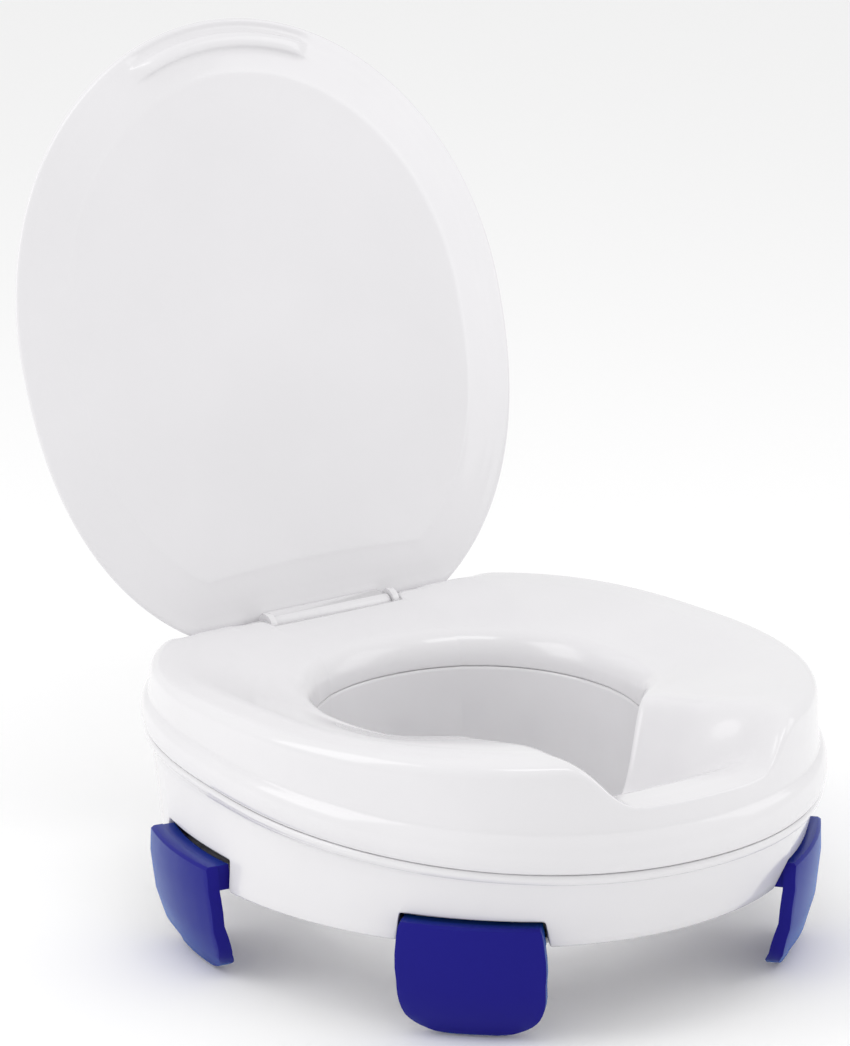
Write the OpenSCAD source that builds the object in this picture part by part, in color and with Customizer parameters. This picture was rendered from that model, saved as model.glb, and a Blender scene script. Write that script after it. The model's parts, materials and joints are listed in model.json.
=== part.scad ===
// Raised toilet seat with a hinged lid and four swinging bowl clips.
// The front is -Y, the hinge is at the back, and the clip tips stand on z = 0.

/* [Rim outline] */
// Half of the width at the parting line
rim_half = 175.5; // [165:0.5:185]
// Length from the widest place to the front
rim_front = 223; // [215:1:230]
// Length from the widest place to the back
rim_back = 205; // [200:1:215]

/* [Heights above the bowl] */
// Height of the parting line between shell and skirt
part_z = 54; // [48:1:60]
// Height of the groove above the rim band
groove_z = 75; // [70:1:78]
// Height of the seat's outer crest
crest_z = 103.5; // [98:1:108]
// Height of the lip around the hole
lip_z = 89; // [86:1:94]

/* [Hole] */
// Half of the hole's width
hole_half = 91; // [84:1:96]
// Length from the hole's middle to its front
hole_front = 103; // [98:1:108]
// Length from the hole's middle to its back
hole_back = 99; // [94:1:104]
// Radius of the rolled lip
lip_r = 17; // [12:1:18]

/* [Front recess] */
// Half of the recess's width at the hole
recess_half = 47; // [38:1:50]
// How much further each side spreads towards the front
recess_flare = 12; // [8:1:20]
// Height of its floor at the hole
recess_floor_z = 42; // [38:1:60]
// Height of the rim in front of it
recess_rim_z = 85; // [82:1:92]

/* [Skirt] */
// Half of the width at the bottom edge
skirt_half = 181; // [176:1:184]
// Wall thickness of the mouldings
wall = 3.5; // [3:0.25:4]

/* [Lid] */
// Half of the lid's width
lid_half = 171; // [160:1:174]
// Angle between the open lid and the closed one's level
lid_open = 108; // [100:1:112]
// Thickness of the lid at its edge
lid_t = 3.5; // [3:0.5:5]

/* [Clips] */
// Width of a clip
clip_w = 84; // [76:1:85]
// Reach of a clip below the skirt
clip_drop = 54.5; // [50:0.5:60]
// Thickness of a clip's plate
clip_t = 7; // [6:0.5:8]

/* [Hidden] */

white = [0.93, 0.93, 0.94];
blue = [0.12, 0.10, 0.48];
grey = [0.35, 0.36, 0.38];
steel = [0.75, 0.76, 0.78];
$fn = 64;

// Places along Y of the outlines' widest points
rim_mid = 18.5;
hole_mid = 25;
foot_mid = 32;
foot_front = 212;
foot_back = 186;

// Hinge of the lid
hinge_y = 188.1;
hinge_z = 86.6;
barrel_r = 5.5;
barrel_half = 41.4;
bush_r = 4;
bush_len = 14;
pin_r = 2.5;
run_gap = 0.05;
cheek_x = 42;
cheek_t = 4;
cheek_r = 8;
pocket_half = 47;
pocket_y = 179.6;
pocket_z = 75;
strap_t = 3;
// Ledge behind the crest that the open lid's edge swings down to
ledge_y = 192.6;
ledge_z = 82.5;
ledge_half = 96;

// Lid outline, measured in the level position, and how it is dished
lid_mid = 7.3;
lid_front = 189.5;
lid_back = 200;
lid_cut_y = 185;
lid_rise = 10;
flange_w = 33;
panel_drop = 2.5;
grip_half = 63;
grip_h = 4;

// Clip places: angle of the outward direction from the front
clip_front_a = 42.4;
clip_rear_a = 97;
clip_bend_r = 185;
notch_half = 43.6;
notch_top_half = 40.8;
notch_h = 17.8;
rod_r = 2;
rod_in = 4;
rod_h = 4;
root_r = 4;
root_half = 19.4;
ear_t = 5;

// Plate, pads and screws
plate_z = 1;
plate_t = 3;
pad_r = 11;
pad_drop = 2.3;
boss_r = 6;
boss_top = 72;
screw_r = 2;
screw_head_r = 4;

// Everything is drawn round the seat's middle at the height of the bowl, then moved
// so that the open part's box stands centred on the origin.
back_y = hinge_y - (hinge_y - lid_mid + lid_front) * cos(lid_open) + (lid_rise + lid_t) * sin(lid_open);
front_y = rim_mid - rim_front - 2.8;
seat_y = -(back_y + front_y) / 2;

// ---- outlines ----

// Point of an egg-shaped outline: t is 0 at the front and 90 at +X
function egg(t, half, mid, front, back, n_front, n_back) =
    let (n = cos(t) > 0 ? n_front : n_back, len = cos(t) > 0 ? front : back)
    [half * sign(sin(t)) * pow(abs(sin(t)), 2 / n), mid - len * sign(cos(t)) * pow(abs(cos(t)), 2 / n)];

rim_n = 2.7;
hole_n = 2.2;
function rim(t) = egg(t, rim_half, rim_mid, rim_front, rim_back, 2.12, rim_n);
function foot(t) = egg(t, skirt_half, foot_mid, foot_front, foot_back, 2.04, 2.04);
function lid_edge(t) = egg(t, lid_half, lid_mid, lid_front, lid_back, 2, 2.3);

// Near the back the sections run straight along Y, so that the hinge pocket has flat sides
straight_x = 60;
function rim_u(x) = asin(pow(x / rim_half, rim_n / 2));
function hole_u(x) = asin(pow(x / hole_half, hole_n / 2));
function hole_turn(u) =
    let (u0 = rim_u(straight_x), h0 = hole_u(straight_x))
    u < u0 ? hole_u(rim_half * pow(sin(u), 2 / rim_n)) : h0 + (u - u0) * (90 - h0) / (90 - u0);
function hole(t) =
    let (s = t < 0 ? -1 : 1, a = abs(t), th = a > 90 ? 180 - hole_turn(180 - a) : a)
    egg(s * th, hole_half, hole_mid, hole_front, hole_back, 2.1, hole_n);

// Point d inwards from an outline's point a, on the way to the hole's point b
function inwards(a, b, d) = a + (b - a) * d / norm(b - a);
function mirror_list(half) = concat(half, [for (i = [len(half) - 2:-1:1]) -half[i]]);

// ---- sculpted rings ----

// Closed skin over equal closed sections that follow each other round a ring
function ring_faces(n, m) =
    [for (i = [0:n - 1], j = [0:m - 1])
        let (i2 = (i + 1) % n, j2 = (j + 1) % m)
        each [[i * m + j, i * m + j2, i2 * m + j2], [i * m + j, i2 * m + j2, i2 * m + j]]];

module ring_solid(sections) {
    m = len(sections[0]);
    polyhedron([for (s = sections, p = s) p], ring_faces(len(sections), m), convexity = 6);
}

// A profile of [inwards, height] points moved in by the wall, and turned round
function inner_profile(p) =
    [for (j = [len(p) - 1:-1:0])
        let (a = p[max(j - 1, 0)], b = p[min(j + 1, len(p) - 1)], d = (b - a) / norm(b - a))
        p[j] + wall * [d[1], -d[0]]];

function smooth(x) = let (k = min(max(x, 0), 1)) k * k * (3 - 2 * k);

module placed() {
    translate([0, seat_y, clip_drop]) children();
}

// ---- seat shell ----

// Angles of the sections, closer together at the recess, with pairs at the pocket's sides
function shell_angles(pocket_x) =
    let (sweep = [for (i = [0:25]) let (u = 6.3 * i) u - 20 * sin(u)])
    let (back = [for (x = [96, 78, 60, pocket_x + 0.4, pocket_x, 30, 15]) 180 - rim_u(x)])
    mirror_list(concat(sweep, back, [180]));

function part_h(y) = part_z + 0.02 * y;
function groove_h(y) = groove_z + 0.01 * y;
function crest_h(y) = crest_z - 0.05 * y;
function lip_h(y) = lip_z - 0.015 * y;

// The front recess lowers the skin between the hole and the front rim
function recess_h(y) = recess_floor_z + (recess_rim_z - recess_floor_z) * smooth((-y - 80) / 100);
function recess_share(p) =
    let (half = recess_half + recess_flare * smooth((-p[1] - 115) / 50))
    1 - smooth((abs(p[0]) - half + 14) / 28);
function ledge_share(p) = smooth((p[1] - ledge_y) / 5) * (1 - smooth((abs(p[0]) - ledge_half) / 14));
// Height of the skin at p after the front recess, or the ledge at the back, has lowered it
function recessed(p, z) =
    p[1] > 0 ? z - ledge_share(p) * max(0, z - ledge_z) : z - recess_share(p) * max(0, z - recess_h(p[1]));

// The lip is rolled less beside the recess
function lip_radius(y) = lip_r - 12 * smooth((-y - 15) / 40);

function band_profile(p, g) =
    [[0.5, p], [-1.8, p + 2.5], [-2.8, p + 8], [-2.4, p + 13], [-0.8, g - 3], [2.4, g]];
function crest_profile(g, c) =
    [[2.8, g + 6], [3.3, c - 9], [4.6, c - 4], [7.5, c - 1.2], [12, c - 0.3], [18, c], [24, c]];
function pocket_profile(d) =
    concat([[3.2, pocket_z + 1]], [for (e = [5, 12, 19, 27, 35, d]) [e, pocket_z]]);

// Upper skin from the parting line over the crest and round the lip into the hole
function skin_profile(t, pocket_x, front_wall_y) =
    let (a = rim(t), b = hole(t), w = norm(b - a), y = a[1])
    let (c = crest_h(y), l = lip_h(y), g = groove_h(y), r = lip_radius(b[1]))
    let (pocket = cos(t) < 0 && abs(a[0]) < pocket_x + 0.1)
    let (d0 = pocket ? y - front_wall_y : 24, d1 = w - r)
    let (dish = [for (k = [pocket ? 0.01 : 0.12, 0.3, 0.5, 0.68, 0.85, 1])
        let (d = d0 + (d1 - d0) * k, share = (d - 24) / (d1 - 24), dip = k < 0.02 ? 0.5 : 0)
        [d, recessed(inwards(a, b, d), c + (l - c) * pow(share, 1.25) - dip)]])
    let (lip = dish[5][1])
    concat(
        band_profile(part_h(y), g),
        pocket ? pocket_profile(d0)
            : [for (q = crest_profile(g, c)) [q[0], recessed(inwards(a, b, q[0]), q[1])]],
        dish,
        [for (e = [22, 45, 67, 90]) [w - r + r * sin(e), lip - r * (1 - cos(e))]],
        [[w, lip - r - 4]]);

function shell_points(t, profile) =
    [for (q = profile) let (p = inwards(rim(t), hole(t), q[0])) [p[0], p[1], q[1]]];

module seat_shell() {
    outer = shell_angles(pocket_half);
    inner = shell_angles(pocket_half + wall);
    color(white) placed() ring_solid([for (i = [0:len(outer) - 1])
        concat(
            shell_points(outer[i], skin_profile(outer[i], pocket_half, pocket_y)),
            shell_points(inner[i], inner_profile(skin_profile(inner[i], pocket_half + wall, pocket_y))))]);
}

// ---- clip places ----

// The foot's outward direction at t, as an angle from the front
function foot_angle(t) = let (p = foot(t - 0.1), q = foot(t + 0.1)) atan2(q[1] - p[1], q[0] - p[0]);
// The t where the foot faces the angle a
function foot_turn(a, lo = 1, hi = 179) =
    let (t = (lo + hi) / 2)
    hi - lo < 0.01 ? t : foot_angle(t) < a ? foot_turn(a, t, hi) : foot_turn(a, lo, t);
clip_front_t = foot_turn(clip_front_a);
clip_rear_t = foot_turn(clip_rear_a);
// Degrees of t for a distance s along the foot from t, with the pace taken half way
function foot_pace(t) = norm(foot(t + 1) - foot(t - 1)) / 2;
function foot_step(t, s) = s / foot_pace(t + s / foot_pace(t) / 2);

// Puts children in the clip's own frame: +X outwards, +Y along the skirt, z = 0 at its foot
module at_clip(a, side) {
    p = foot(foot_turn(a));
    translate([side * p[0], p[1], 0]) rotate([0, 0, side > 0 ? a - 90 : -90 - a]) children();
}

module at_all_clips() {
    for (side = [-1, 1], a = [clip_front_a, clip_rear_a])
        at_clip(a, side) children();
}

// ---- skirt ----

function fill(a, b, n) = [for (i = [1:n - 1]) a + (b - a) * i / n];
function notch_turns(t) =
    [for (s = [-notch_half, -notch_top_half, -20, 0, 20, notch_top_half, notch_half]) t + foot_step(t, s)];
function in_notch(t, c) =
    let (d = abs(t) - c)
    abs(d) < abs(foot_step(c, sign(d) * (notch_top_half + 0.5))) || d == 0;
function skirt_turns() =
    let (f = notch_turns(clip_front_t), r = notch_turns(clip_rear_t))
    mirror_list(concat([0], fill(0, f[0], 5), f, fill(f[6], r[0], 6), r, fill(r[6], 180, 14), [180]));

// Point on the skirt's face between the bead's lower edge and the foot, d inwards.
// Up to upright_z a station doesn't lean along the skirt, so that the notches' sides are alike.
upright_z = 20;
function skirt_point(t, z, d) =
    let (a = inwards(rim(t), hole(t), 3.5), top = part_h(a[1]) - 7.6, p = a + (foot(t) - a) * (top - z) / top)
    let (e = foot_angle(t), along = [cos(e), sin(e)])
    let (upright = z > upright_z ? p : p - ((p - foot(t)) * along) * along)
    let (q = inwards(upright, hole(t), d))
    [q[0], q[1], z];
function bead_point(t, d, dz) =
    let (p = inwards(rim(t), hole(t), d))
    [p[0], p[1], part_h(p[1]) + dz];

function skirt_section(t) =
    let (foot_z = in_notch(t, clip_front_t) || in_notch(t, clip_rear_t) ? notch_h : 0)
    concat(
        [for (q = [[6.8, -6], [6.8, 5], [4.8, 5], [4.8, -0.2], [0.5, -0.2], [-0.8, -2], [-0.6, -4], [1.5, -6.4]])
            bead_point(t, q[0], q[1])],
        [skirt_point(t, part_z - 8.5, 0.2), skirt_point(t, 32, 0), skirt_point(t, upright_z, 0)],
        [skirt_point(t, foot_z + 1, 0), skirt_point(t, foot_z, 1), skirt_point(t, foot_z, wall)],
        [skirt_point(t, upright_z, wall), skirt_point(t, 32, wall)]);

module base_skirt() {
    color(white) placed() ring_solid([for (t = skirt_turns()) skirt_section(t)]);
}

// ---- sleeve in the hole ----

function sleeve_top(t) =
    let (a = rim(t), b = hole(t), w = norm(b - a), r = lip_radius(b[1]))
    recessed(inwards(a, b, w - r), lip_h(a[1])) - r - 4.4;

function sleeve_section(t) =
    let (b = hole(t), u = (rim(t) - b) / norm(rim(t) - b), top = sleeve_top(t), low = plate_z + plate_t)
    [for (q = [[0.6, top], [0, top - 0.6], [0, -16], [1, -18], [3, -18], [3, low], [13, low],
        [13, low + 3], [3, low + 3], [3, top]])
        let (p = b + u * q[0]) [p[0], p[1], q[1]]];

module splash_sleeve() {
    color(white) placed() ring_solid([for (t = shell_angles(pocket_half)) sleeve_section(t)]);
}

// ---- bottom plate, pads, bosses and screws ----

boss_turns = [28, 68, 122];
pad_front_t = 8;
pad_rear_t = 150;
// Place between the hole's edge (0) and the foot (1)
function ring_place(t, k) = hole(t) + k * (foot(t) - hole(t));

module oval(half, mid, front, back, n_front, n_back) {
    polygon([for (i = [0:71]) egg(5 * i, half, mid, front, back, n_front, n_back)]);
}

module at_bosses() {
    for (side = [-1, 1], t = boss_turns)
        translate(concat(ring_place(side * t, 0.6), [0])) children();
}

module at_pad(t, k) {
    translate(concat(ring_place(t, k), [0])) children();
}

module plate_blank() {
    e = wall + 1.5;
    translate([0, 0, plate_z]) linear_extrude(plate_t) difference() {
        oval(skirt_half - e, foot_mid, foot_front - e, foot_back - e, 2.04, 2.04);
        oval(hole_half + 3.6, hole_mid, hole_front + 3.6, hole_back + 3.6, 2.1, hole_n);
    }
}

module rod_ears() {
    for (s = [-1, 1])
        translate([0, s * (root_half + 0.6 + ear_t / 2), 0]) {
            translate([-rod_in, 0, rod_h]) rotate([90, 0, 0]) cylinder(r = root_r - 0.3, h = ear_t, center = true);
            translate([-18, -ear_t / 2, plate_z]) cube([18 - rod_in, ear_t, rod_h + root_r - 0.3 - plate_z]);
        }
}

module clip_gap() {
    translate([-rod_in - root_r - 1.2, -root_half - 0.6, 0]) cube([40, 2 * root_half + 1.2, 20]);
}

module rod_hole(r) {
    translate([-rod_in, 0, rod_h]) rotate([90, 0, 0]) cylinder(r = r, h = 80, center = true);
}

module screw_holes() {
    at_bosses() {
        cylinder(r = screw_r + run_gap, h = 12);
        cylinder(r = screw_head_r + 0.3, h = plate_z + 1.5);
    }
}

module pad_pockets() {
    for (side = [-1, 1]) {
        at_pad(side * pad_front_t, 0.62) cylinder(r = pad_r + run_gap, h = plate_z + 1);
        at_pad(side * pad_rear_t, 0.55) cylinder(r = pad_r + run_gap, h = plate_z + 1);
    }
}

module bottom_plate() {
    color(white) placed() difference() {
        union() {
            plate_blank();
            at_all_clips() rod_ears();
        }
        at_all_clips() {
            clip_gap();
            rod_hole(rod_r);
        }
        screw_holes();
        pad_pockets();
    }
}

module shell_bosses() {
    color(white) placed() at_bosses() translate([0, 0, plate_z + plate_t]) difference() {
        cylinder(r = boss_r, h = boss_top - plate_z - plate_t);
        translate([0, 0, -1]) cylinder(r = screw_r + run_gap, h = 25);
    }
}

// Screw standing upwards from the underside of its head
module screw(length) {
    cylinder(r = screw_r, h = length);
    translate([0, 0, -1.4]) cylinder(r1 = screw_head_r - 0.8, r2 = screw_head_r, h = 1.4);
}

module plate_screws() {
    color(steel) placed() at_bosses() translate([0, 0, plate_z + 1.5]) screw(20);
}

module pad(t, k) {
    color(grey) placed() at_pad(t, k) translate([0, 0, -pad_drop]) rotate_extrude()
        polygon([[0, 0], [pad_r - 1, 0], [pad_r, 1], [pad_r, pad_drop + plate_z + 1], [0, pad_drop + plate_z + 1]]);
}

module pad_front_left() { pad(-pad_front_t, 0.62); }
module pad_front_right() { pad(pad_front_t, 0.62); }
module pad_rear_left() { pad(-pad_rear_t, 0.55); }
module pad_rear_right() { pad(pad_rear_t, 0.55); }

// ---- clips ----

// Points on an arc of a circle
function arc(x, y, r, from, to, n) =
    [for (i = [0:n]) let (e = from + (to - from) * i / n) [x + r * cos(e), y + r * sin(e)]];

// Section of the plate from above the bowl round the tip and back up, [outwards, height]
tip_r = 3.5;
tip_z = -clip_drop + tip_r;
clip_section = concat(
    [[9.5, 15.5], [11.2, 14], [11.5, 0], [8.8, -24], [3.5, -42]],
    arc(-6, tip_z, tip_r, 0, -180, 6),
    [[-8.3, -47], [-4.5, -41], [9.2 - clip_t, -21], [11.5 - clip_t, 0], [4, 15.5]]);

// Section swept round a far centre, so that a clip follows the skirt's curve
module clip_sweep(section) {
    spread = 15;
    translate([-clip_bend_r, 0, 0]) rotate([0, 0, -spread]) rotate_extrude(angle = 2 * spread, $fn = 360)
        translate([clip_bend_r, 0]) polygon(section);
}

// Half of the plate's outline seen from outside, with a full, round lower end
clip_side = concat(
    [[clip_w / 2 - 3.2, 16], [clip_w / 2 - 1.8, 13], [clip_w / 2 - 0.8, 8],
        [clip_w / 2 + 0.4, -4], [clip_w / 2 + 0.6, -12]],
    [for (i = [0:12]) let (e = 7.5 * i)
        [clip_w / 2 * pow(cos(e), 2 / 3), -20 - (clip_drop - 20) * pow(sin(e), 2 / 3)]]);

module clip_outline() {
    n = len(clip_side);
    rotate([90, 0, 90]) translate([0, 0, -30]) linear_extrude(60)
        polygon(concat(clip_side, [for (i = [n - 2:-1:0]) [-clip_side[i][0], clip_side[i][1]]]));
}

// Block behind the plate that reaches in through the notch, with a slot for each ear of the plate
module clip_root() {
    slot = ear_t + 1.2;
    difference() {
        intersection() {
            clip_sweep([[-3.2, 1], [6, 1], [6, 15.2], [-3.2, 15.2]]);
            translate([-20, 0, 0]) rotate([90, 0, 90]) linear_extrude(40)
                polygon([[-41, 0], [41, 0], [38.6, 16], [-38.6, 16]]);
        }
        for (s = [-1, 1])
            translate([-10, s * (root_half + slot / 2) - slot / 2, 0]) cube([12.5, slot, 9]);
        translate([-10, -root_half, 0]) cube([10 - rod_in, 2 * root_half, 9]);
    }
    translate([-rod_in, 0, rod_h]) rotate([90, 0, 0]) cylinder(r = root_r, h = 2 * root_half, center = true);
}

module clip(a, side) {
    color(blue) placed() at_clip(a, side) difference() {
        union() {
            intersection() {
                clip_sweep(clip_section);
                clip_outline();
            }
            clip_root();
        }
        rod_hole(rod_r + run_gap);
    }
}

module clip_rod(a, side) {
    len = 2 * (root_half + 0.6 + ear_t);
    color(steel) placed() at_clip(a, side) translate([-rod_in, 0, rod_h]) rotate([90, 0, 0])
        cylinder(r = rod_r, h = len, center = true);
}

module clip_front_left() { clip(clip_front_a, -1); }
module clip_front_right() { clip(clip_front_a, 1); }
module clip_rear_left() { clip(clip_rear_a, -1); }
module clip_rear_right() { clip(clip_rear_a, 1); }
module clip_rod_front_left() { clip_rod(clip_front_a, -1); }
module clip_rod_front_right() { clip_rod(clip_front_a, 1); }
module clip_rod_rear_left() { clip_rod(clip_rear_a, -1); }
module clip_rod_rear_right() { clip_rod(clip_rear_a, 1); }

// ---- lid ----

// Turns children from the level position to the open rest position
module opened() {
    placed() translate([0, hinge_y, hinge_z]) rotate([-lid_open, 0, 0]) translate([0, -hinge_y, 0]) children();
}

// Lid outline, cut straight at the hinge's side
lid_cut_t = 180 - acos(pow((lid_cut_y - lid_mid) / lid_back, 1.15));
lid_cut_x = lid_edge(lid_cut_t)[0];
function lid_points() =
    let (half = concat(
        [for (i = [0:36]) lid_edge(lid_cut_t * i / 36)],
        [for (k = [0.7, 0.45, 0.2, 0]) [lid_cut_x * k, lid_cut_y]]))
    concat(half, [for (i = [len(half) - 2:-1:1]) [-half[i][0], half[i][1]]]);

// Underside from the middle to the edge, [inwards, height, share of the grip's height]
lid_under = [[120, -panel_drop, 0], [80, -panel_drop, 0], [flange_w + 6, -panel_drop, 0],
    [flange_w + 1, -panel_drop + 0.3, 0], [flange_w - 3, -panel_drop + 0.9, 0], [24, -0.9, 0], [19, -0.7, 0],
    [18, -0.7, 0.75], [15.5, -0.6, 1], [12, -0.5, 1], [9.5, -0.4, 0.75], [8.5, -0.4, 0], [6, -0.3, -0.3],
    [4, -0.2, -0.3], [2.5, 0, 0], [0.8, 0.3, 0], [0, 1.3, 0]];
lid_over = [[0, lid_t - 1.3, 0], [0.8, lid_t - 0.3, 0], [2.5, lid_t, 0], [12, lid_t - 0.5, 0], [24, lid_t - 0.9, 0],
    [flange_w - 3, lid_t - panel_drop + 0.9, 0], [flange_w + 1, lid_t - panel_drop + 0.3, 0],
    [flange_w + 6, lid_t - panel_drop, 0], [80, lid_t - panel_drop, 0], [120, lid_t - panel_drop, 0]];

function grip_share(p) = p[1] > 0 ? 0 : 1 - smooth((abs(p[0]) - grip_half + 4) / 4);
function lid_ring(q, edge) =
    [for (e = edge)
        let (p = inwards(e, [0, lid_mid], q[0]))
        [p[0], p[1], lid_rise + q[1] - q[2] * grip_h * grip_share(e)]];

module lid() {
    edge = lid_points();
    n = len(edge);
    rings = [for (q = concat(lid_under, lid_over)) lid_ring(q, edge)];
    m = len(rings);
    low = n * m;
    points = concat([for (r = rings, p = r) p],
        [[0, lid_mid, lid_rise - panel_drop], [0, lid_mid, lid_rise + lid_t - panel_drop]]);
    skin = [for (i = [0:m - 2], j = [0:n - 1])
        let (a = i * n + j, b = i * n + (j + 1) % n) each [[a, b + n, b], [a, a + n, b + n]]];
    caps = [for (j = [0:n - 1])
        let (j2 = (j + 1) % n) each [[low, j, j2], [low + 1, (m - 1) * n + j2, (m - 1) * n + j]]];
    color(white) opened() polyhedron(points, concat(skin, caps), convexity = 6);
}

// ---- hinge ----

module along_x(x, len, r) {
    translate([x, hinge_y, 0]) rotate([0, 90, 0]) cylinder(r = r, h = len);
}

module strap_places() {
    for (x = [-28, 28])
        translate([x, 150, lid_rise + lid_t - 0.6 + strap_t]) children();
}

// Fills the corner between the barrel and the lid's underside
module knuckle_front() {
    translate([-barrel_half, hinge_y, 0]) rotate([90, 0, 90]) linear_extrude(2 * barrel_half)
        polygon([[-8.5, lid_rise - 0.6], [-barrel_r + 0.1, 1], [0, 0], [0, lid_rise],
            [lid_cut_y + 0.6 - hinge_y, lid_rise], [lid_cut_y + 0.6 - hinge_y, lid_rise - 0.6]]);
}

// Barrel with a strap that runs over the lid's outer side
module lid_knuckle() {
    top = lid_rise + lid_t - 0.5;
    color(white) opened() difference() {
        union() {
            along_x(-barrel_half, 2 * barrel_half, barrel_r);
            translate([-barrel_half, lid_cut_y + 0.6, 0])
                cube([2 * barrel_half, hinge_y - lid_cut_y - 0.6, top + strap_t]);
            translate([-barrel_half, 142, top + 0.6]) cube([2 * barrel_half, hinge_y - 142, strap_t - 0.6]);
            knuckle_front();
        }
        along_x(-barrel_half - 1, bush_len + 1, bush_r);
        along_x(barrel_half - bush_len, bush_len + 1, bush_r);
        strap_places() {
            translate([0, 0, -20]) cylinder(r = screw_r + run_gap, h = 30);
            translate([0, 0, -1.1]) cylinder(r = screw_head_r, h = 3);
        }
    }
}

module bush(x) {
    color(grey) opened() difference() {
        along_x(x, bush_len, bush_r);
        along_x(x - 1, bush_len + 2, pin_r + run_gap);
    }
}

module pin(side) {
    reach = cheek_x + cheek_t - barrel_half + bush_len - 2;
    color(steel) opened() translate([side * (cheek_x + cheek_t), hinge_y, 0]) rotate([0, -90 * side, 0]) {
        cylinder(r = pin_r, h = reach);
        translate([0, 0, -0.8]) cylinder(r1 = pin_r + 1, r2 = pin_r + 1.5, h = 0.8);
    }
}

module hinge_pin_left() { pin(-1); }
module hinge_pin_right() { pin(1); }
module hinge_bush_left() { bush(-barrel_half); }
module hinge_bush_right() { bush(barrel_half - bush_len); }

module cradle_places() {
    for (x = [-20, 20])
        translate([x, hinge_y + 3, pocket_z + 1.5]) children();
}

// Foot on the pocket's floor with a round-topped cheek at each end
module hinge_cradle() {
    out = cheek_x + cheek_t;
    color(white) placed() difference() {
        union() {
            translate([-out, pocket_y + 0.4, pocket_z]) cube([2 * out, hinge_y + 14.6 - pocket_y, 2.6]);
            for (x = [-out, cheek_x]) {
                translate([0, 0, hinge_z]) along_x(x, cheek_t, cheek_r);
                translate([x, hinge_y - cheek_r, pocket_z]) cube([cheek_t, 2 * cheek_r, hinge_z - pocket_z]);
            }
        }
        translate([0, 0, hinge_z]) along_x(-out - 1, 2 * out + 2, pin_r);
        cradle_places() {
            translate([0, 0, -3]) cylinder(r = screw_r, h = 6);
            translate([0, 0, -0.4]) cylinder(r = screw_head_r + 0.2, h = 3);
        }
    }
}

module cradle_screws() {
    color(steel) placed() cradle_places() translate([0, 0, 1]) rotate([180, 0, 0]) short_screw(9);
}

module strap_screws() {
    color(steel) opened() strap_places() translate([0, 0, 0.4]) rotate([180, 0, 0]) short_screw(5.5);
}

// Screw hanging down from its head
module short_screw(length) {
    cylinder(r = screw_r, h = length);
    cylinder(r = screw_head_r - 0.8, h = 1.4);
}

// ---- nodes ----

seat_shell();
base_skirt();
bottom_plate();
splash_sleeve();
shell_bosses();
lid();
lid_knuckle();
hinge_cradle();
hinge_pin_left();
hinge_pin_right();
hinge_bush_left();
hinge_bush_right();
clip_front_left();
clip_front_right();
clip_rear_left();
clip_rear_right();
clip_rod_front_left();
clip_rod_front_right();
clip_rod_rear_left();
clip_rod_rear_right();
pad_front_left();
pad_front_right();
pad_rear_left();
pad_rear_right();
plate_screws();
cradle_screws();
strap_screws();
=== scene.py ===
"""Looks of the raised toilet seat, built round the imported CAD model.

Lengths are in millimetres until they reach a mesh, and angles are in degrees.
"""

import json
import math

import bmesh
import bpy
from mathutils import Matrix, Vector


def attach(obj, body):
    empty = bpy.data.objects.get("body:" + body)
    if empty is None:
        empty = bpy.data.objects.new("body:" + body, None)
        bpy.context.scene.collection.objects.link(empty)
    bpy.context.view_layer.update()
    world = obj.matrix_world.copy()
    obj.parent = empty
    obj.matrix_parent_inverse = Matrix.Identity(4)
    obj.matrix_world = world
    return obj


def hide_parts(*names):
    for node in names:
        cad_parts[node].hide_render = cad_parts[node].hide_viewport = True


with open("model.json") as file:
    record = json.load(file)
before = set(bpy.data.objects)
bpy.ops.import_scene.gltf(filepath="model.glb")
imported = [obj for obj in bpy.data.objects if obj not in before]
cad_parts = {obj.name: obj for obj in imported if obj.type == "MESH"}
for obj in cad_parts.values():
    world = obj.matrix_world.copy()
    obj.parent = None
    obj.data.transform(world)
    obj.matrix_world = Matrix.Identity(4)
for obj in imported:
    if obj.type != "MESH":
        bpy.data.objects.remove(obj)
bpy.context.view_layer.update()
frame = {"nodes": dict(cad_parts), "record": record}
MM = 0.001

# Seat outlines: half width, middle, length to the front and to the back, roundness at each end
RIM = (175.5, 18.5, 223, 205, 2.12, 2.7)
HOLE = (91, 25, 103, 99, 2.1, 2.2)
FOOT = (181, 32, 212, 186, 2.04, 2.04)
LID = (171, 7.3, 189.5, 200, 2, 2.3)

# Parting line, groove, crest and lip: height above the skirt's foot where y is 0, and rise per mm of y
PART_Z, GROOVE_Z, CREST_Z, LIP_Z = 54, 75, 103.5, 89
PART_RISE, GROOVE_RISE, CREST_RISE, LIP_RISE = 0.02, 0.01, -0.05, -0.015
WALL = 3.5

# From the rim inwards to the crest's top, and the slope from there down to the lip
CREST_D, SLOPE_POWER = 24, 1.25
SLOPE_STEPS = (0.3, 0.5, 0.68, 0.85, 1)

# The lip: its roll, which gets smaller towards the front, and its straight edge down into the hole
LIP_R, LIP_R_FRONT, LIP_EDGE = 17, 5, 4
LIP_R_START_Y, LIP_R_END_Y = -15, -55
LIP_TURNS = (22, 45, 67, 90)

# Front recess: it climbs and widens from its inner end towards the rim
RECESS_HALF, RECESS_FLARE, RECESS_BANK = 47, 12, 28
RECESS_FLOOR_Z, RECESS_RIM_Z = 42, 85
RECESS_FLOOR_Y, RECESS_RIM_Y = -80, -180
FLARE_START_Y, FLARE_END_Y = -115, -165

# Top of the skirt, as [inwards from the rim, height above the parting line]: a tongue and a bead
BEAD = [(6.8, -6), (6.8, 5), (4.8, 5), (4.8, -0.2), (0.5, -0.2), (-0.8, -2), (-0.6, -4), (1.5, -6.4)]
BEAD_H, UNDER_BEAD_Z = 7.6, PART_Z - 8.5

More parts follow.
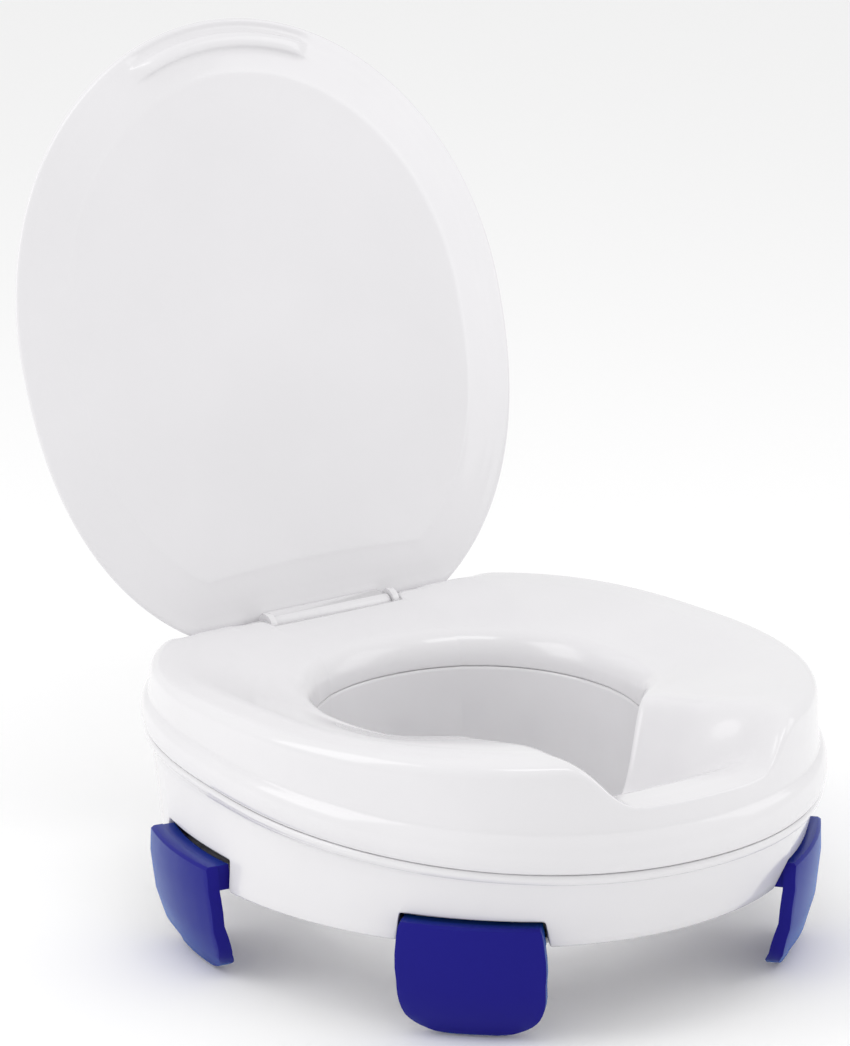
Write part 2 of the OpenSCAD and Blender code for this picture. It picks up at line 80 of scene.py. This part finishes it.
# Sleeve that lines the hole and lies on the bottom plate
PLATE_TOP_Z = 4
SLEEVE_GAP, SLEEVE_FOOT_Z, SLEEVE_WALL, SLEEVE_FLANGE = 0.4, -18, 3, 13

# Hinge and lid
HINGE_Y, HINGE_Z = 188.1, 86.6
POCKET_HALF, POCKET_Y, POCKET_Z = 47, 179.6, 75
LEDGE_Y, LEDGE_Z, LEDGE_HALF, LEDGE_STEP, LEDGE_FADE = 192.6, 82.5, 96, 5, 14
LID_OPEN = 108
LID_CUT_Y, LID_LIFT, LID_T = 185, 10, 3.5
FLANGE_W, PANEL_DROP = 33, 2.5
GRIP_HALF, GRIP_H, GRIP_FADE = 63, 4, 4

# Clips: the way each one faces, from the front; their notches; and heights of points on the skirt
CLIP_ANGLES = (42.4, 97)
NOTCH_HALF, NOTCH_TOP_HALF, NOTCH_H = 43.6, 40.8, 17.8
UPRIGHT_Z, SKIRT_MID_Z = 20, 32

# How closely the sections follow each other round the shell, the skirt and the lid
SHELL_STEP, SHELL_STEPS, CROWDING = 4.5, 35, 14
STEPS_TO_CLIPS, STEPS_TO_BACK = (10, 12), 26
LID_STEPS = 60

# Where the seat's own origin lies in the frame
hinge = next(j for j in frame["record"]["behaviour"]["joints"] if j["name"] == "lid_hinge")
SEAT = Vector((0, hinge["pos_m"][1] / MM - HINGE_Y, hinge["pos_m"][2] / MM - HINGE_Z))


# ---- outlines, as in the CAD model ----

def sin(a):
    return math.sin(math.radians(a))


def cos(a):
    return math.cos(math.radians(a))


def asin(x):
    return math.degrees(math.asin(x))


def egg(t, shape):
    """Point of an egg-shaped outline: t is 0 at the front and 90 at +X."""
    half, mid, front, back, n_front, n_back = shape
    n, length = (n_front, front) if cos(t) > 0 else (n_back, back)
    x = half * math.copysign(abs(sin(t)) ** (2 / n), sin(t))
    y = mid - length * math.copysign(abs(cos(t)) ** (2 / n), cos(t))
    return Vector((x, y))


def rim(t):
    return egg(t, RIM)


def foot(t):
    return egg(t, FOOT)


# Near the back, where x is less than this, the sections run straight along Y
STRAIGHT_X = 60


def rim_turn(x):
    """Angle from the back at which the rim is x from the middle."""
    return asin((x / RIM[0]) ** (RIM[5] / 2))


def hole_turn_at(x):
    """Angle from the back at which the hole's edge is x from the middle."""
    return asin((x / HOLE[0]) ** (HOLE[5] / 2))


def hole_turn(u):
    """The hole's angle for the section that leaves the rim at u, both taken from the back."""
    u0, h0 = rim_turn(STRAIGHT_X), hole_turn_at(STRAIGHT_X)
    if u < u0:
        return hole_turn_at(RIM[0] * sin(u) ** (2 / RIM[5]))
    return h0 + (u - u0) * (90 - h0) / (90 - u0)


def hole(t):
    """Where the section that leaves the rim at t reaches the hole's edge."""
    a = abs(t)
    turn = 180 - hole_turn(180 - a) if a > 90 else a
    return egg(math.copysign(turn, t), HOLE)


def inwards(a, b, d):
    """The point at d from a on the way to b."""
    return a + (b - a).normalized() * d


def smooth(x, start, end):
    """0 up to start and 1 from end on, with a smooth step between."""
    k = min(max((x - start) / (end - start), 0), 1)
    return k * k * (3 - 2 * k)


def both_sides(half):
    """Angles 0 to 180, then the mirrored ones back to 0."""
    return half + [-t for t in reversed(half[1:-1])]


# ---- mesh helpers ----

def new_object(name, bm, parent_body, replaced):
    """A smooth-shaded object from bm that rides on a body, in place of the replaced CAD nodes."""
    bmesh.ops.recalc_face_normals(bm, faces=bm.faces)
    mesh = bpy.data.meshes.new(name)
    bm.to_mesh(mesh)
    bm.free()
    for face in mesh.polygons:
        face.use_smooth = True
    obj = bpy.data.objects.new(name, mesh)
    bpy.context.scene.collection.objects.link(obj)
    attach(obj, parent_body)
    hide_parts(*replaced)
    return obj


def subdivide(obj, levels):
    modifier = obj.modifiers.new("smooth", "SUBSURF")
    modifier.levels = levels
    modifier.render_levels = levels


def placed(p):
    """From the seat's own millimetres to the frame's metres."""
    return (Vector(p) + SEAT) * MM


def ring_mesh(sections, creased):
    """Closed skin over equal closed sections that follow each other round a ring."""
    bm = bmesh.new()
    crease = bm.edges.layers.float.new("crease_edge")
    rows = [[bm.verts.new(placed(p)) for p in section] for section in sections]
    for i, row in enumerate(rows):
        following = rows[(i + 1) % len(rows)]
        for j in range(len(row)):
            k = (j + 1) % len(row)
            bm.faces.new((row[j], following[j], following[k], row[k]))
        for j, amount in creased.items():
            bm.edges.get((row[j], following[j]))[crease] = amount
    return bm


# ---- seat shell ----

def part_h(y):
    return PART_Z + PART_RISE * y


def groove_h(y):
    return GROOVE_Z + GROOVE_RISE * y


def crest_h(y):
    return CREST_Z + CREST_RISE * y


def lip_h(y):
    return LIP_Z + LIP_RISE * y


def recess_h(y):
    """Height of the front recess's floor."""
    return RECESS_FLOOR_Z + (RECESS_RIM_Z - RECESS_FLOOR_Z) * smooth(y, RECESS_FLOOR_Y, RECESS_RIM_Y)


def recess_share(p):
    """1 in the front recess and 0 beside it, with a bank between."""
    half = RECESS_HALF + RECESS_FLARE * smooth(p[1], FLARE_START_Y, FLARE_END_Y)
    return 1 - smooth(abs(p[0]), half - RECESS_BANK / 2, half + RECESS_BANK / 2)


def ledge_share(p):
    """1 on the low ledge at the seat's back, and 0 in front of it and beside it."""
    across = 1 - smooth(abs(p[0]), LEDGE_HALF, LEDGE_HALF + LEDGE_FADE)
    return smooth(p[1], LEDGE_Y, LEDGE_Y + LEDGE_STEP) * across


def recessed(p, z):
    """Height of the skin at p after the front recess, or the ledge at the back, has lowered it."""
    if p[1] > 0:
        return z - ledge_share(p) * max(0, z - LEDGE_Z)
    return z - recess_share(p) * max(0, z - recess_h(p[1]))


def lip_radius(y):
    """The lip is rolled less beside the recess."""
    return LIP_R - (LIP_R - LIP_R_FRONT) * smooth(y, LIP_R_START_Y, LIP_R_END_Y)


def band_profile(p, g):
    """Bulging band between the parting line at height p and the groove at height g."""
    return [(0.5, p), (-1.8, p + 2.5), (-2.8, p + 8), (-2.4, p + 13), (-0.8, g - 3), (2.4, g)]


def crest_profile(g, c):
    """From just above the groove at height g to the crest's top at height c."""
    return [(2.8, g + 6), (3.3, c - 9), (4.6, c - 4), (7.5, c - 1.2), (12, c - 0.3), (18, c), (CREST_D, c)]


def pocket_profile(d):
    """Floor of the hinge pocket, up to its front wall at d."""
    return [(3.2, POCKET_Z + 1)] + [(e, POCKET_Z) for e in (5, 12, 19, 27, 35, d)]


def skin_profile(t, pocket_x, front_wall_y):
    """Upper skin as [inwards, height], from the parting line over the crest and round the lip."""
    a, b = rim(t), hole(t)
    y, w = a[1], (b - a).length
    groove, crest, lip = groove_h(y), crest_h(y), lip_h(y)
    r = lip_radius(b[1])
    d1 = w - r
    points = band_profile(part_h(y), groove)
    # Start of the slope, share of it at its first point, and how far that point is lowered
    if cos(t) < 0 and abs(a[0]) < pocket_x + 0.1:
        d0, first, dip = y - front_wall_y, 0.01, 0.5
        points += pocket_profile(d0)
    else:
        d0, first, dip = CREST_D, 0.12, 0
        points += [(d, recessed(inwards(a, b, d), z)) for d, z in crest_profile(groove, crest)]
    for k in (first, *SLOPE_STEPS):
        d = d0 + (d1 - d0) * k
        share = (d - CREST_D) / (d1 - CREST_D)
        z = crest + (lip - crest) * share ** SLOPE_POWER
        if k == first:
            z -= dip
        points.append((d, recessed(inwards(a, b, d), z)))
    top = points[-1][1]
    points += [(w - r + r * sin(e), top - r * (1 - cos(e))) for e in LIP_TURNS]
    return points + [(w, top - r - LIP_EDGE)]


def inner_profile(points):
    """The profile moved in by the wall, and turned round."""
    moved = []
    for j in reversed(range(len(points))):
        a = Vector(points[max(j - 1, 0)])
        b = Vector(points[min(j + 1, len(points) - 1)])
        d = (b - a).normalized()
        moved.append((points[j][0] + WALL * d[1], points[j][1] - WALL * d[0]))
    return moved


def along_section(t, profile):
    """The profile's points on the section that leaves the rim at t."""
    a, b = rim(t), hole(t)
    return [(*inwards(a, b, d), z) for d, z in profile]


def shell_turns(pocket_x):
    """Angles of the sections, closer together at the recess and at the pocket's sides."""
    even = [SHELL_STEP * i for i in range(SHELL_STEPS)]
    sweep = [a - CROWDING * sin(a) for a in even]
    back = [180 - rim_turn(x) for x in (96, 84, 72, 60, pocket_x + 0.6, pocket_x, pocket_x - 1.5, 30, 15)]
    return both_sides(sweep + back + [180])


def make_shell():
    sections = []
    for outer, inner in zip(shell_turns(POCKET_HALF), shell_turns(POCKET_HALF + WALL)):
        out = skin_profile(outer, POCKET_HALF, POCKET_Y)
        inn = inner_profile(skin_profile(inner, POCKET_HALF + WALL, POCKET_Y))
        sections.append(along_section(outer, out) + along_section(inner, inn))
    # Sharper rows: the parting line, the groove, the crest's inner edge, and the lip's lower edge
    n = len(sections[0]) // 2
    creased = {0: 0.8, 5: 0.55, 13: 0.85, n - 1: 0.9, n: 0.9, 2 * n - 1: 0.8}
    shell = new_object("shell_skin", ring_mesh(sections, creased), "base", ["seat_shell"])
    subdivide(shell, 2)
    return shell


# ---- skirt and sleeve ----

def foot_angle(t):
    """Direction in which the foot's outline runs at t, from +X."""
    d = foot(t + 0.1) - foot(t - 0.1)
    return math.degrees(math.atan2(d[1], d[0]))


def foot_turn(a):
    """The t where the foot's outline runs in direction a."""
    lo, hi = 1, 179
    while hi - lo > 0.01:
        t = (lo + hi) / 2
        lo, hi = (t, hi) if foot_angle(t) < a else (lo, t)
    return (lo + hi) / 2


def foot_pace(t):
    """Length of the foot's outline for one degree of t."""
    return (foot(t + 1) - foot(t - 1)).length / 2


def foot_step(t, s):
    """Degrees of t for a distance s along the foot from t, with the pace taken half way."""
    return s / foot_pace(t + s / foot_pace(t) / 2)


CLIP_TURNS = [foot_turn(a) for a in CLIP_ANGLES]


def skirt_turns():
    """Angles of the sections, with four at each slanted side of a notch."""
    marks = (-NOTCH_HALF - 1, -NOTCH_HALF, -NOTCH_TOP_HALF, -NOTCH_TOP_HALF + 1, -25, 0)
    marks += tuple(-m for m in reversed(marks[:-1]))
    half = [0]
    for t, steps in zip(CLIP_TURNS, STEPS_TO_CLIPS):
        notch = [t + foot_step(t, s) for s in marks]
        start = half[-1]
        half += [start + (notch[0] - start) * i / steps for i in range(1, steps)] + notch
    start, steps = half[-1], STEPS_TO_BACK
    return both_sides(half + [start + (180 - start) * i / steps for i in range(1, steps + 1)])


def in_notch(t):
    """Whether t is between the slanted sides of a notch."""
    reach = NOTCH_TOP_HALF + 0.5
    return any(foot_step(c, -reach) < abs(t) - c < foot_step(c, reach) for c in CLIP_TURNS)


def skirt_point(t, z, d):
    """The skirt at height z, and d inwards.

    Up to UPRIGHT_Z a section doesn't lean along the skirt, so that the notches' sides are alike.
    """
    a = inwards(rim(t), hole(t), WALL)
    top = part_h(a[1]) - BEAD_H
    p = a + (foot(t) - a) * (top - z) / top
    if z <= UPRIGHT_Z:
        along = Vector((cos(foot_angle(t)), sin(foot_angle(t))))
        p -= (p - foot(t)).dot(along) * along
    return (*inwards(p, hole(t), d), z)


def bead_point(t, d, dz):
    """The point at d inwards from the rim and dz above the parting line."""
    p = inwards(rim(t), hole(t), d)
    return (*p, part_h(p[1]) + dz)


def skirt_section(t):
    """The bead, then down the outside to the foot or the notch, and up the inside."""
    low = NOTCH_H if in_notch(t) else 0
    wall = [(UNDER_BEAD_Z, 0.2), (SKIRT_MID_Z, 0), (UPRIGHT_Z, 0), (low + 1, 0), (low, 1),
            (low, WALL), (UPRIGHT_Z, WALL), (SKIRT_MID_Z, WALL)]
    return [bead_point(t, d, dz) for d, dz in BEAD] + [skirt_point(t, z, d) for z, d in wall]


def make_skirt():
    # Sharper rows: the tongue, the bead's edges and both edges of the foot
    creased = {0: 1, 1: 1, 2: 1, 3: 1, 4: 0.7, 7: 0.5, 8: 0.6, 11: 0.7, 12: 0.7, 13: 0.9}
    bm = ring_mesh([skirt_section(t) for t in skirt_turns()], creased)
    skirt = new_object("skirt_skin", bm, "base", ["base_skirt"])
    subdivide(skirt, 2)
    return skirt


def sleeve_section(t):
    """From under the shell's lip down into the bowl, with a flange that lies on the bottom plate."""
    a, b = rim(t), hole(t)
    w = (b - a).length
    out = (a - b).normalized()
    r = lip_radius(b[1])
    top = recessed(inwards(a, b, w - r), lip_h(a[1])) - r - LIP_EDGE - SLEEVE_GAP
    foot_z, wall, flange = SLEEVE_FOOT_Z, SLEEVE_WALL, SLEEVE_FLANGE
    flange_top = PLATE_TOP_Z + wall
    profile = [(0.6, top), (0, top - 0.6), (0, foot_z + 2), (1, foot_z), (wall, foot_z), (wall, PLATE_TOP_Z),
               (flange, PLATE_TOP_Z), (flange, flange_top), (wall, flange_top), (wall, top)]
    return [(*(b + out * d), z) for d, z in profile]


def make_sleeve():
    sections = [sleeve_section(t) for t in shell_turns(POCKET_HALF)]
    bm = ring_mesh(sections, {j: 0.9 for j in range(len(sections[0]))})
    sleeve = new_object("sleeve_skin", bm, "base", ["splash_sleeve"])
    subdivide(sleeve, 1)
    return sleeve


# ---- lid ----

# [inwards, height, share of the grip's height] from the underside's middle to the edge, then over the top
LID_UNDER = [(120, -PANEL_DROP, 0), (80, -PANEL_DROP, 0), (FLANGE_W + 6, -PANEL_DROP - 0.6, 0),
             (FLANGE_W + 0.6, -PANEL_DROP - 0.8, 0), (FLANGE_W - 0.6, -PANEL_DROP - 0.3, 0), (24, -2.1, 0),
             (19, -1.6, 0), (18, -1.5, 0.75), (15.5, -1.2, 1), (12, -0.9, 1), (9.5, -0.6, 0.75),
             (8.5, -0.5, 0), (6, -0.3, -0.3), (4, -0.2, -0.3), (2.5, 0, 0), (0.8, 0.3, 0), (0, 1.3, 0)]
LID_OVER = [(0, LID_T - 1.3, 0), (0.8, LID_T - 0.3, 0), (2.5, LID_T, 0), (12, LID_T - 0.5, 0),
            (24, LID_T - 0.9, 0), (FLANGE_W - 3, LID_T - PANEL_DROP + 0.9, 0),
            (FLANGE_W + 1, LID_T - PANEL_DROP + 0.3, 0), (FLANGE_W + 6, LID_T - PANEL_DROP, 0),
            (80, LID_T - PANEL_DROP, 0), (120, LID_T - PANEL_DROP, 0)]


def lid_points():
    """The lid's outline: an egg cut straight across just in front of the hinge axis."""
    cut_t = 180 - math.degrees(math.acos(((LID_CUT_Y - LID[1]) / LID[3]) ** (LID[5] / 2)))
    half = [egg(cut_t * i / LID_STEPS, LID) for i in range(LID_STEPS + 1)]
    cut_x = half[-1][0]
    half += [Vector((cut_x * k, LID_CUT_Y)) for k in (0.97, 0.7, 0.45, 0.2, 0)]
    return half + [Vector((-p[0], p[1])) for p in reversed(half[1:-1])]


def grip_share(p):
    """1 along the finger grip at the lid's front edge, and 0 elsewhere."""
    return 0 if p[1] > 0 else 1 - smooth(abs(p[0]), GRIP_HALF - GRIP_FADE, GRIP_HALF)


def opened(x, y, z):
    """From the level lid, with heights above the hinge axis, to the open rest position."""
    dy = y - HINGE_Y
    turned_y = HINGE_Y + dy * cos(LID_OPEN) + z * sin(LID_OPEN)
    turned_z = HINGE_Z - dy * sin(LID_OPEN) + z * cos(LID_OPEN)
    return placed((x, turned_y, turned_z))


def make_lid():
    edge = lid_points()
    middle = Vector((0, LID[1]))
    bm = bmesh.new()
    rings = []
    for d, z, share in LID_UNDER + LID_OVER:
        ring = []
        for e in edge:
            p = inwards(e, middle, d)
            ring.append(bm.verts.new(opened(p[0], p[1], LID_LIFT + z - share * GRIP_H * grip_share(e))))
        rings.append(ring)
    for ring, following in zip(rings, rings[1:]):
        for j in range(len(ring)):
            k = (j + 1) % len(ring)
            bm.faces.new((ring[j], ring[k], following[k], following[j]))
    for ring, z in ((rings[0], -PANEL_DROP), (rings[-1], LID_T - PANEL_DROP)):
        centre = bm.verts.new(opened(0, LID[1], LID_LIFT + z))
        for j in range(len(ring)):
            bm.faces.new((ring[j], ring[(j + 1) % len(ring)], centre))
    lid = new_object("lid_skin", bm, "lid", ["lid"])
    subdivide(lid, 2)
    return lid


# ---- rounded copies of CAD pieces ----

def rounded_copy(node, width):
    """The CAD node's own shape with its sharp edges rounded."""
    source = frame["nodes"][node]
    bm = bmesh.new()
    bm.from_mesh(source.data)
    bmesh.ops.transform(bm, matrix=source.matrix_world, verts=bm.verts)
    bmesh.ops.remove_doubles(bm, verts=bm.verts, dist=1e-6)
    bmesh.ops.dissolve_limit(bm, angle_limit=math.radians(1), verts=bm.verts, edges=bm.edges)
    body = next(b for b, nodes in frame["record"]["behaviour"]["bodies"].items() if node in nodes)
    obj = new_object(node + "_rounded", bm, body, [node])
    bevel = obj.modifiers.new("rounding", "BEVEL")
    bevel.width = width * MM
    bevel.segments = 4
    bevel.limit_method = "ANGLE"
    bevel.angle_limit = math.radians(40)
    bevel.harden_normals = True
    return obj


# ---- materials ----

def plastic(name, colour, roughness, grain, coat=0.0):
    """Glossy moulded plastic with a faint cloudiness and the fine unevenness of a moulded skin."""
    material = bpy.data.materials.new(name)
    material.use_nodes = True
    nodes, links = material.node_tree.nodes, material.node_tree.links
    shader = nodes["Principled BSDF"]
    shader.inputs["Roughness"].default_value = roughness
    shader.inputs["IOR"].default_value = 1.5
    shader.inputs["Coat Weight"].default_value = coat
    shader.inputs["Coat Roughness"].default_value = 0.06
    place = nodes.new("ShaderNodeTexCoord")
    cloud = nodes.new("ShaderNodeTexNoise")
    cloud.inputs["Scale"].default_value = 9
    cloud.inputs["Detail"].default_value = 3
    links.new(place.outputs["Object"], cloud.inputs["Vector"])
    ramp = nodes.new("ShaderNodeValToRGB")
    for stop, position, shade in zip(ramp.color_ramp.elements, (0.3, 0.7), (0.965, 1)):
        stop.position = position
        stop.color = (*[c * shade for c in colour], 1)
    links.new(cloud.outputs["Fac"], ramp.inputs["Fac"])
    links.new(ramp.outputs["Color"], shader.inputs["Base Color"])
    skin = nodes.new("ShaderNodeTexNoise")
    skin.inputs["Scale"].default_value = grain
    skin.inputs["Detail"].default_value = 4
    links.new(place.outputs["Object"], skin.inputs["Vector"])
    bump = nodes.new("ShaderNodeBump")
    bump.inputs["Strength"].default_value = 0.04
    bump.inputs["Distance"].default_value = 0.0005
    links.new(skin.outputs["Fac"], bump.inputs["Height"])
    links.new(bump.outputs["Normal"], shader.inputs["Normal"])
    return material


def blue_plastic(name):
    """Deep blue plastic whose skin turns lighter where light grazes it."""
    material = plastic(name, (0.018, 0.012, 0.215), 0.26, 300)
    shader = material.node_tree.nodes["Principled BSDF"]
    shader.inputs["Specular IOR Level"].default_value = 0.12
    shader.inputs["Specular Tint"].default_value = (0.1, 0.45, 1, 1)
    shader.inputs["Sheen Weight"].default_value = 0.4
    shader.inputs["Sheen Roughness"].default_value = 0.35
    shader.inputs["Sheen Tint"].default_value = (0, 0.35, 1, 1)
    return material


def steel(name):
    """Plain stainless steel with fine turning marks."""
    material = plastic(name, (0.62, 0.63, 0.65), 0.3, 900)
    material.node_tree.nodes["Principled BSDF"].inputs["Metallic"].default_value = 1
    return material


MATERIALS = {
    "white_plastic": plastic("white_plastic", (0.79, 0.78, 0.797), 0.2, 260, coat=0.6),
    "blue_plastic": blue_plastic("blue_plastic"),
    "steel": steel("steel"),
    "rubber": plastic("rubber", (0.05, 0.05, 0.052), 0.7, 1500),
    "bush_plastic": plastic("bush_plastic", (0.27, 0.28, 0.30), 0.45, 500),
}


def dress(obj, slot):
    """Give a piece its material, whose name is the slot's."""
    obj.data.materials.clear()
    obj.data.materials.append(MATERIALS[slot])


# ---- the object ----

for piece in (make_shell(), make_skirt(), make_sleeve(), make_lid()):
    dress(piece, "white_plastic")

# Width of the rounding on each CAD piece that is rounded
ROUNDED = {"hinge_cradle": 0.8, "lid_knuckle": 0.8}
ROUNDED.update({f"clip_{end}_{side}": 1.6 for end in ("front", "rear") for side in ("left", "right")})
for entry in frame["record"]["subparts"]:
    node = entry["node"]
    if node in ROUNDED:
        dress(rounded_copy(node, ROUNDED[node]), entry["material_slot"])
    else:
        for material_slot in frame["nodes"][node].material_slots:
            material_slot.material = MATERIALS[entry["material_slot"]]


# ---- floor, light and camera ----

def make_floor():
    """A pale sheet, 12 m across and 1 mm below the frame's zero."""
    bm = bmesh.new()
    half, z = 6, -0.001
    places = ((-half, -half), (half, -half), (half, half), (-half, half))
    corners = [bm.verts.new((x, y, z)) for x, y in places]
    bm.faces.new(corners)
    mesh = bpy.data.meshes.new("floor")
    bm.to_mesh(mesh)
    bm.free()
    floor = bpy.data.objects.new("floor", mesh)
    bpy.context.scene.collection.objects.link(floor)
    material = bpy.data.materials.new("floor")
    material.use_nodes = True
    shader = material.node_tree.nodes["Principled BSDF"]
    shader.inputs["Base Color"].default_value = (0.98, 0.98, 0.98, 1)
    shader.inputs["Roughness"].default_value = 0.9
    shader.inputs["Specular IOR Level"].default_value = 0.1
    floor.data.materials.append(material)


def direction(azimuth, elevation):
    """Outwards from the seat: azimuth 0 is in front, and 90 at +X."""
    return Vector((sin(azimuth) * cos(elevation), -cos(azimuth) * cos(elevation), sin(elevation)))


def area_light(name, azimuth, elevation, distance, size, power):
    """A soft box that faces the seat; distance and size are in metres."""
    data = bpy.data.lights.new(name, "AREA")
    data.shape = "RECTANGLE"
    data.size, data.size_y = size
    data.energy = power
    light = bpy.data.objects.new(name, data)
    bpy.context.scene.collection.objects.link(light)
    seat_middle = Vector((0, 0, 0.2))
    out = direction(azimuth, elevation)
    light.location = seat_middle + out * distance
    light.rotation_euler = out.to_track_quat("Z", "Y").to_euler()


def make_light():
    area_light("left_box", azimuth=-115, elevation=30, distance=1.6, size=(0.9, 1.3), power=5)
    area_light("right_box", azimuth=60, elevation=30, distance=1.6, size=(0.9, 1.3), power=3)
    area_light("top_box", azimuth=-20, elevation=70, distance=1.8, size=(1.2, 0.5), power=4)
    world = bpy.data.worlds.new("studio")
    world.use_nodes = True
    world.node_tree.nodes["Background"].inputs["Color"].default_value = (1, 1, 1, 1)
    world.node_tree.nodes["Background"].inputs["Strength"].default_value = 0.88
    bpy.context.scene.world = world


def make_camera():
    """A long lens, 3 m away, that looks down on the seat from its front left."""
    azimuth, elevation, roll = -33, 17.12, -0.69
    distance, across, up_shift = 2968.9, -45.8, 183.45
    back = direction(azimuth, elevation)
    right = Vector((cos(azimuth), sin(azimuth), 0))
    up = back.cross(right)
    right, up = right * cos(roll) + up * sin(roll), up * cos(roll) - right * sin(roll)
    data = bpy.data.cameras.new("camera")
    data.sensor_width = 36
    data.lens = 174
    camera = bpy.data.objects.new("camera", data)
    bpy.context.scene.collection.objects.link(camera)
    place = placed(back * distance + right * across + up * up_shift)
    turn = Matrix((right, up, back)).transposed().to_4x4()
    camera.matrix_world = Matrix.Translation(place) @ turn
    bpy.context.scene.camera = camera


make_floor()
make_light()
make_camera()
bpy.context.scene.view_settings.view_transform = "Standard"
